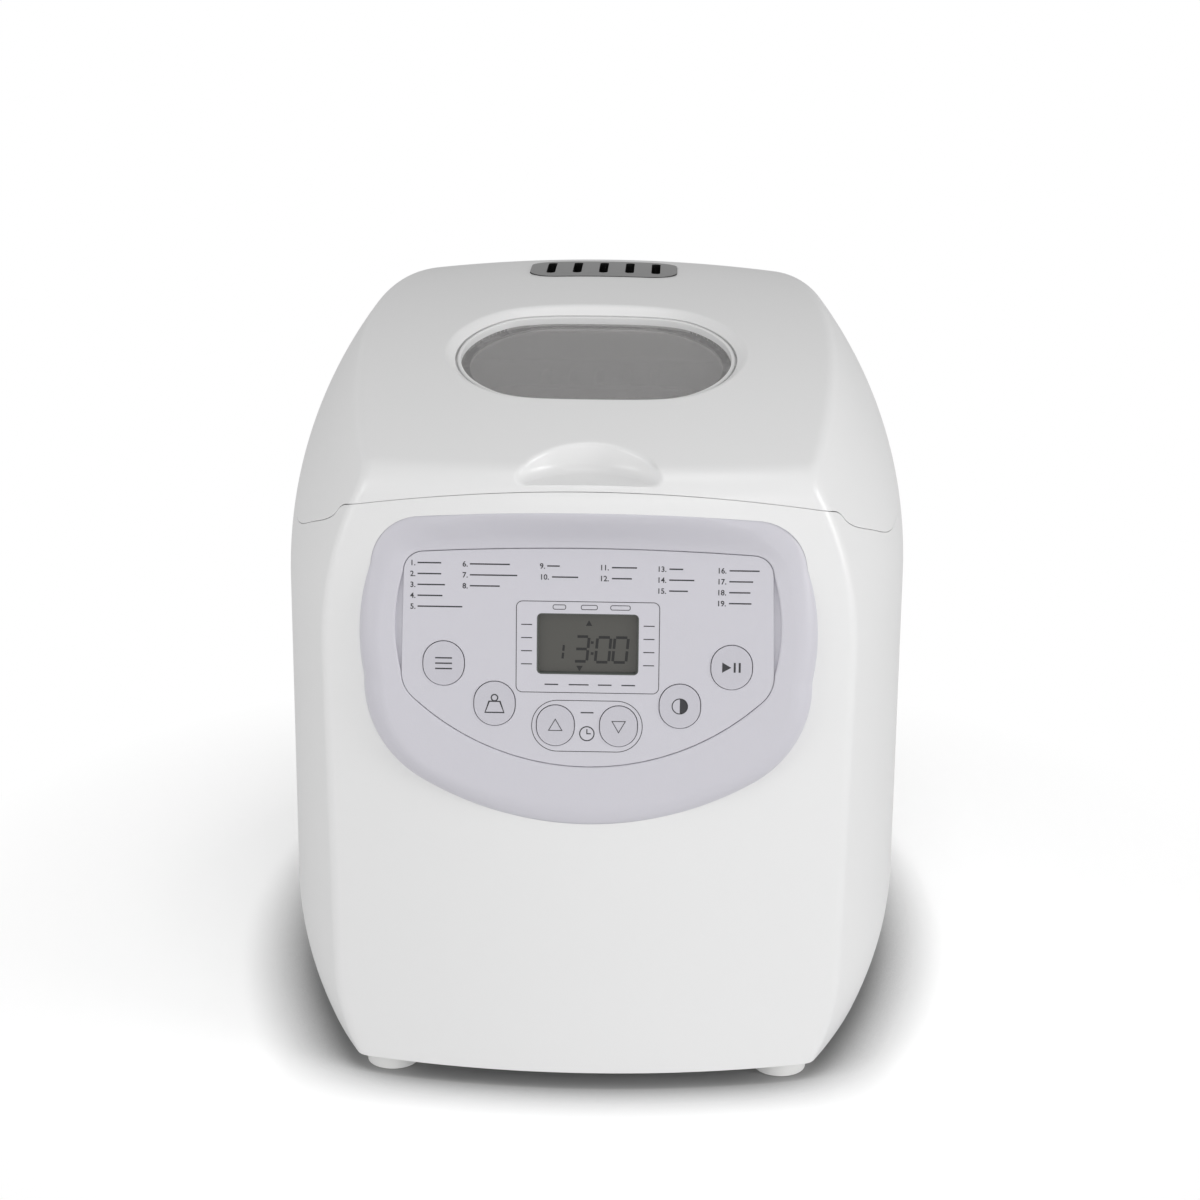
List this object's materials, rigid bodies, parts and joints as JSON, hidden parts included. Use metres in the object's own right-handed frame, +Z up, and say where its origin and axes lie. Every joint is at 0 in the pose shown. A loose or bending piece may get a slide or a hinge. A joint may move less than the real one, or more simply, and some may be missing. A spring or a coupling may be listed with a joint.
{
  "type": "bread machine",
  "caption": "Upright bread machine with barrel sides, a domed hinged lid with an oval window and vent, a D-shaped front control panel with display and round keys, and a lift-out pan.",
  "frame": {"origin": "centre of the bounding box at the level of the feet", "axes": "+Z up, front with the control panel faces -Y, +X to the viewer's right when looking at the front"},
  "size_m": [0.272, 0.33, 0.3],
  "materials": {
    "housing_white": "glossy moulded white plastic",
    "panel_lilac": "satin pale lilac grey plastic",
    "base_steel": "galvanised sheet",
    "foot_white": "pale moulded rubber",
    "foot_rubber": "matt rubber",
    "screw_steel": "bright plated steel",
    "black_plastic": "matt black nylon",
    "belt_rubber": "toothed rubber belt",
    "lcd_glass": "clear lens over a grey display",
    "lcd_frame": "display module",
    "board_green": "solder-masked board",
    "chamber_steel": "brushed sheet steel",
    "heater_sheath": "oxidised heater sheath",
    "white_ceramic": "unglazed ceramic",
    "bronze": "sintered bronze",
    "cast_alloy": "die-cast alloy",
    "motor_core": "varnished laminations",
    "capacitor_white": "moulded can",
    "relay_blue": "moulded case",
    "winding_amber": "taped winding",
    "seal_silicone": "soft silicone",
    "window_glass": "smoky tempered glass",
    "vent_grey": "satin grey plastic",
    "pan_coating": "dark non-stick coating"
  },
  "bodies": {
    "housing": {"body_shell": "housing_white", "base_plate": "base_steel", "top_deck": "housing_white", "feet": "foot_white", "base_screws": "screw_steel", "hinge_pins": "screw_steel", "cord_gland": "black_plastic", "control_bezel": "panel_lilac", "control_overlay": "panel_lilac", "lcd_lens": "lcd_glass", "lcd_module": "lcd_frame", "control_pcb": "board_green", "tact_switches": "black_plastic", "panel_screws": "screw_steel", "oven_chamber": "chamber_steel", "chamber_posts": "base_steel", "heater_element": "heater_sheath", "heater_bushes": "white_ceramic", "temperature_probe": "chamber_steel", "thermal_fuse": "bronze", "heat_shield": "chamber_steel", "pan_clips": "chamber_steel", "drive_base": "cast_alloy", "shaft_bushes": "bronze", "motor_bracket": "base_steel", "motor_mounts": "foot_rubber", "motor": "motor_core", "motor_capacitor": "capacitor_white", "power_pcb": "board_green", "relay": "relay_blue", "transformer": "winding_amber", "drive_belt": "belt_rubber"},
    "lid": {"lid_shell": "housing_white", "lid_liner": "chamber_steel", "lid_seal": "seal_silicone", "lid_screws": "screw_steel", "window_ring": "housing_white", "outer_glass": "window_glass", "window_gasket": "foot_rubber", "inner_glass": "window_glass", "vent_grille": "vent_grey"},
    "drive": {"drive_shaft": "screw_steel", "drive_coupling": "cast_alloy", "large_pulley": "black_plastic"},
    "rotor": {"motor_shaft": "screw_steel", "small_pulley": "black_plastic"},
    "pan": {"bread_pan": "pan_coating", "pan_ring": "cast_alloy", "pan_bearing": "bronze"},
    "handle": {"pan_handle": "screw_steel"},
    "paddle": {"pan_shaft": "screw_steel", "kneading_paddle": "pan_coating"},
    "menu_key": {"menu_button": "panel_lilac"},
    "weight_key": {"weight_button": "panel_lilac"},
    "timer_up_key": {"timer_up_button": "panel_lilac"},
    "timer_down_key": {"timer_down_button": "panel_lilac"},
    "crust_key": {"crust_button": "panel_lilac"},
    "start_key": {"start_button": "panel_lilac"}
  },
  "joints": [
    {"name": "lid_hinge", "type": "hinge", "parent": "housing", "child": "lid", "pos_m": [0, 0.1605, 0.236], "axis": [-1, 0, 0], "range_deg": [0, 90]},
    {"name": "menu_press", "type": "slide", "parent": "housing", "child": "menu_key", "axis": [0, 0.9903, -0.1392], "range_m": [0, 0.0008], "stiffness_N_per_m": 600},
    {"name": "weight_press", "type": "slide", "parent": "housing", "child": "weight_key", "axis": [0, 0.9903, -0.1392], "range_m": [0, 0.0008], "stiffness_N_per_m": 600},
    {"name": "timer_up_press", "type": "slide", "parent": "housing", "child": "timer_up_key", "axis": [0, 0.9903, -0.1392], "range_m": [0, 0.0008], "stiffness_N_per_m": 600},
    {"name": "timer_down_press", "type": "slide", "parent": "housing", "child": "timer_down_key", "axis": [0, 0.9903, -0.1392], "range_m": [0, 0.0008], "stiffness_N_per_m": 600},
    {"name": "crust_press", "type": "slide", "parent": "housing", "child": "crust_key", "axis": [0, 0.9903, -0.1392], "range_m": [0, 0.0008], "stiffness_N_per_m": 600},
    {"name": "start_press", "type": "slide", "parent": "housing", "child": "start_key", "axis": [0, 0.9903, -0.1392], "range_m": [0, 0.0008], "stiffness_N_per_m": 600},
    {"name": "drive_spin", "type": "hinge", "parent": "housing", "child": "drive", "pos_m": [0, -0.035, 0.03], "axis": [0, 0, 1], "continuous": true},
    {"name": "motor_spin", "type": "hinge", "parent": "housing", "child": "rotor", "pos_m": [0.05, 0.102, 0.03], "axis": [0, 0, 1], "continuous": true},
    {"name": "pan_lift", "type": "slide", "parent": "housing", "child": "pan", "axis": [0, 0, 1], "range_m": [0, 0.018]},
    {"name": "handle_swing", "type": "hinge", "parent": "pan", "child": "handle", "pos_m": [0, -0.035, 0.2192], "axis": [1, 0, 0], "range_deg": [0, 15]},
    {"name": "paddle_spin", "type": "hinge", "parent": "pan", "child": "paddle", "pos_m": [0, -0.035, 0.09], "axis": [0, 0, 1], "continuous": true}
  ],
  "couplings": [
    {"joint": "motor_spin", "follows": "drive_spin", "ratio": 5},
    {"joint": "paddle_spin", "follows": "drive_spin", "ratio": 1}
  ]
}
